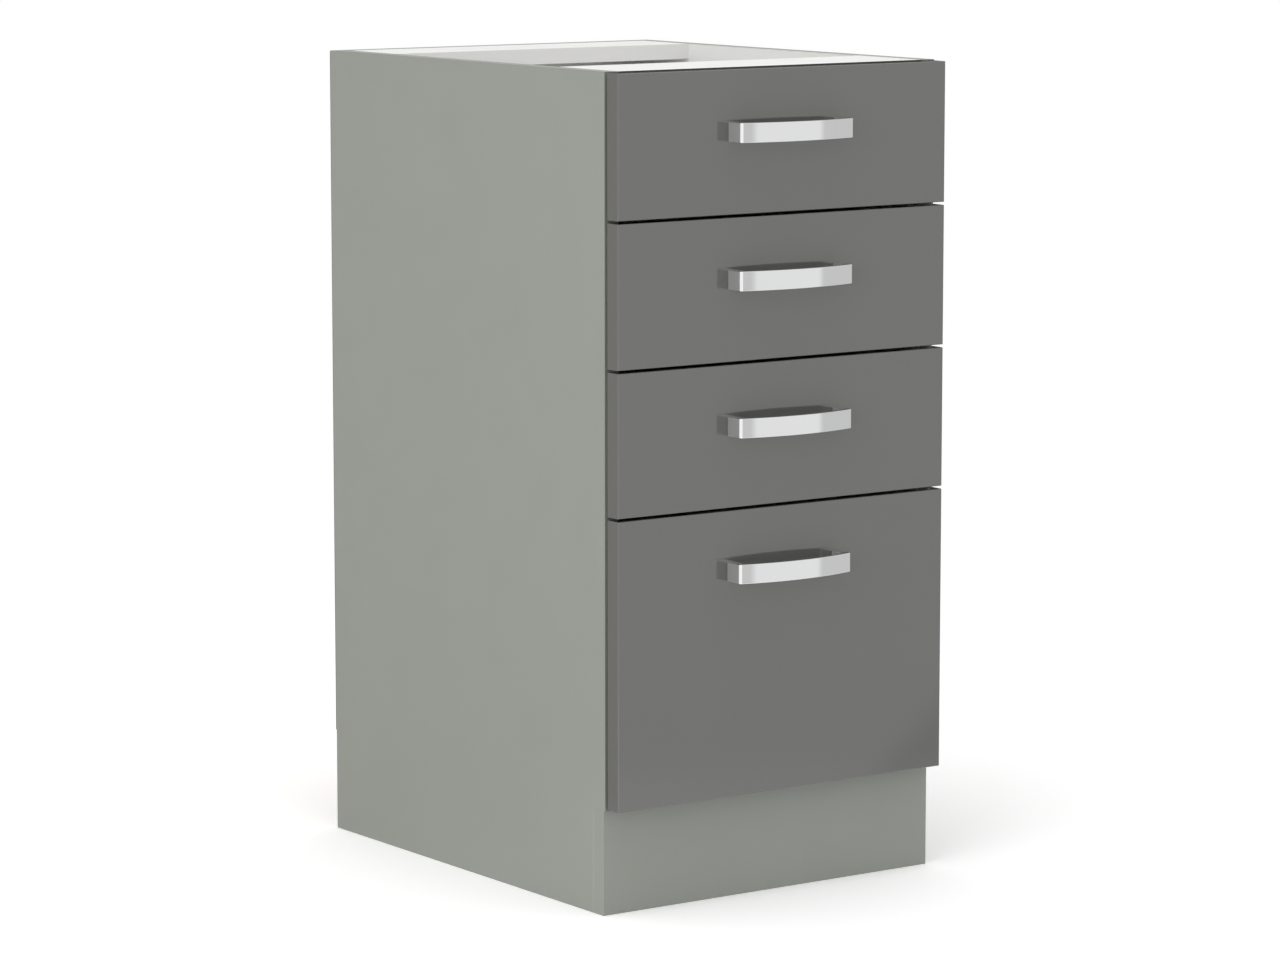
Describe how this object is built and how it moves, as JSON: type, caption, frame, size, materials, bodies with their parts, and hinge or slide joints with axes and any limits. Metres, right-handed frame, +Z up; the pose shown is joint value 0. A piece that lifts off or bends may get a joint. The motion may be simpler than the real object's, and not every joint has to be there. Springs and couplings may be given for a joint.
{
  "type": "kitchen base cabinet with drawers",
  "caption": "Narrow kitchen base cabinet: grey board carcass with open top, recessed plinth, gloss-fronted drawers with chrome bow handles on roller runners.",
  "frame": {"origin": "on the floor under the centre of the whole unit with its handles", "axes": "+Z up, drawers open towards -Y, +X to the right seen from the front"},
  "size_m": [0.4, 0.55, 0.82],
  "materials": {
    "carcass_board": "matt grey-green melamine outside, white inside",
    "white_board": "white melamine",
    "thin_board": "white lacquered hardboard, brown on the rear face",
    "front_gloss": "high-gloss dark grey foil on fibreboard",
    "chrome": "polished chrome plate",
    "zinc_steel": "zinc-plated steel",
    "runner_paint": "white epoxy coat on rolled steel",
    "roller_nylon": "pale grey nylon",
    "beech": "fluted beech",
    "bumper_silicone": "clear soft silicone"
  },
  "bodies": {
    "carcass": {"left_side_panel": "carcass_board", "right_side_panel": "carcass_board", "bottom_panel": "white_board", "front_top_rail": "white_board", "rear_top_rail": "white_board", "back_panel": "thin_board", "plinth_board": "carcass_board", "cam_locks": "zinc_steel", "cam_bolts": "zinc_steel", "wood_dowels": "beech", "carcass_screws": "zinc_steel", "plinth_brackets": "zinc_steel", "back_panel_nails": "zinc_steel", "left_runner_rails": "runner_paint", "right_runner_rails": "runner_paint", "front_roller_pins": "zinc_steel"},
    "drawer_1": {"drawer_1_front": "front_gloss", "drawer_1_handle": "chrome", "drawer_1_left_side": "white_board", "drawer_1_right_side": "white_board", "drawer_1_back": "white_board", "drawer_1_bottom": "thin_board", "drawer_1_fasteners": "zinc_steel", "drawer_1_runner_rails": "runner_paint", "drawer_1_bumpers": "bumper_silicone"},
    "drawer_1_front_rollers": {"drawer_1_front_rollers": "roller_nylon"},
    "drawer_1_rear_rollers": {"drawer_1_rear_rollers": "roller_nylon"},
    "drawer_2": {"drawer_2_front": "front_gloss", "drawer_2_handle": "chrome", "drawer_2_left_side": "white_board", "drawer_2_right_side": "white_board", "drawer_2_back": "white_board", "drawer_2_bottom": "thin_board", "drawer_2_fasteners": "zinc_steel", "drawer_2_runner_rails": "runner_paint", "drawer_2_bumpers": "bumper_silicone"},
    "drawer_2_front_rollers": {"drawer_2_front_rollers": "roller_nylon"},
    "drawer_2_rear_rollers": {"drawer_2_rear_rollers": "roller_nylon"},
    "drawer_3": {"drawer_3_front": "front_gloss", "drawer_3_handle": "chrome", "drawer_3_left_side": "white_board", "drawer_3_right_side": "white_board", "drawer_3_back": "white_board", "drawer_3_bottom": "thin_board", "drawer_3_fasteners": "zinc_steel", "drawer_3_runner_rails": "runner_paint", "drawer_3_bumpers": "bumper_silicone"},
    "drawer_3_front_rollers": {"drawer_3_front_rollers": "roller_nylon"},
    "drawer_3_rear_rollers": {"drawer_3_rear_rollers": "roller_nylon"},
    "drawer_4": {"drawer_4_front": "front_gloss", "drawer_4_handle": "chrome", "drawer_4_left_side": "white_board", "drawer_4_right_side": "white_board", "drawer_4_back": "white_board", "drawer_4_bottom": "thin_board", "drawer_4_fasteners": "zinc_steel", "drawer_4_runner_rails": "runner_paint", "drawer_4_bumpers": "bumper_silicone"},
    "drawer_4_front_rollers": {"drawer_4_front_rollers": "roller_nylon"},
    "drawer_4_rear_rollers": {"drawer_4_rear_rollers": "roller_nylon"}
  },
  "joints": [
    {"name": "drawer_1_slide", "type": "slide", "parent": "carcass", "child": "drawer_1", "axis": [0, -1, 0], "range_m": [0, 0.335]},
    {"name": "drawer_1_front_rollers_turn", "type": "hinge", "parent": "carcass", "child": "drawer_1_front_rollers", "pos_m": [0, -0.211, 0.7136], "axis": [1, 0, 0], "range_deg": [0, 2134]},
    {"name": "drawer_1_rear_rollers_turn", "type": "hinge", "parent": "drawer_1", "child": "drawer_1_rear_rollers", "pos_m": [0, 0.215, 0.7136], "axis": [1, 0, 0], "range_deg": [0, 2134]},
    {"name": "drawer_2_slide", "type": "slide", "parent": "carcass", "child": "drawer_2", "axis": [0, -1, 0], "range_m": [0, 0.335]},
    {"name": "drawer_2_front_rollers_turn", "type": "hinge", "parent": "carcass", "child": "drawer_2_front_rollers", "pos_m": [0, -0.211, 0.5706], "axis": [1, 0, 0], "range_deg": [0, 2134]},
    {"name": "drawer_2_rear_rollers_turn", "type": "hinge", "parent": "drawer_2", "child": "drawer_2_rear_rollers", "pos_m": [0, 0.215, 0.5706], "axis": [1, 0, 0], "range_deg": [0, 2134]},
    {"name": "drawer_3_slide", "type": "slide", "parent": "carcass", "child": "drawer_3", "axis": [0, -1, 0], "range_m": [0, 0.335]},
    {"name": "drawer_3_front_rollers_turn", "type": "hinge", "parent": "carcass", "child": "drawer_3_front_rollers", "pos_m": [0, -0.211, 0.4276], "axis": [1, 0, 0], "range_deg": [0, 2134]},
    {"name": "drawer_3_rear_rollers_turn", "type": "hinge", "parent": "drawer_3", "child": "drawer_3_rear_rollers", "pos_m": [0, 0.215, 0.4276], "axis": [1, 0, 0], "range_deg": [0, 2134]},
    {"name": "drawer_4_slide", "type": "slide", "parent": "carcass", "child": "drawer_4", "axis": [0, -1, 0], "range_m": [0, 0.335]},
    {"name": "drawer_4_front_rollers_turn", "type": "hinge", "parent": "carcass", "child": "drawer_4_front_rollers", "pos_m": [0, -0.211, 0.1406], "axis": [1, 0, 0], "range_deg": [0, 2134]},
    {"name": "drawer_4_rear_rollers_turn", "type": "hinge", "parent": "drawer_4", "child": "drawer_4_rear_rollers", "pos_m": [0, 0.215, 0.1406], "axis": [1, 0, 0], "range_deg": [0, 2134]}
  ],
  "couplings": [
    {"joint": "drawer_1_front_rollers_turn", "follows": "drawer_1_slide", "rad_per_m": 111.11},
    {"joint": "drawer_1_rear_rollers_turn", "follows": "drawer_1_slide", "rad_per_m": 111.11},
    {"joint": "drawer_2_front_rollers_turn", "follows": "drawer_2_slide", "rad_per_m": 111.11},
    {"joint": "drawer_2_rear_rollers_turn", "follows": "drawer_2_slide", "rad_per_m": 111.11},
    {"joint": "drawer_3_front_rollers_turn", "follows": "drawer_3_slide", "rad_per_m": 111.11},
    {"joint": "drawer_3_rear_rollers_turn", "follows": "drawer_3_slide", "rad_per_m": 111.11},
    {"joint": "drawer_4_front_rollers_turn", "follows": "drawer_4_slide", "rad_per_m": 111.11},
    {"joint": "drawer_4_rear_rollers_turn", "follows": "drawer_4_slide", "rad_per_m": 111.11}
  ]
}
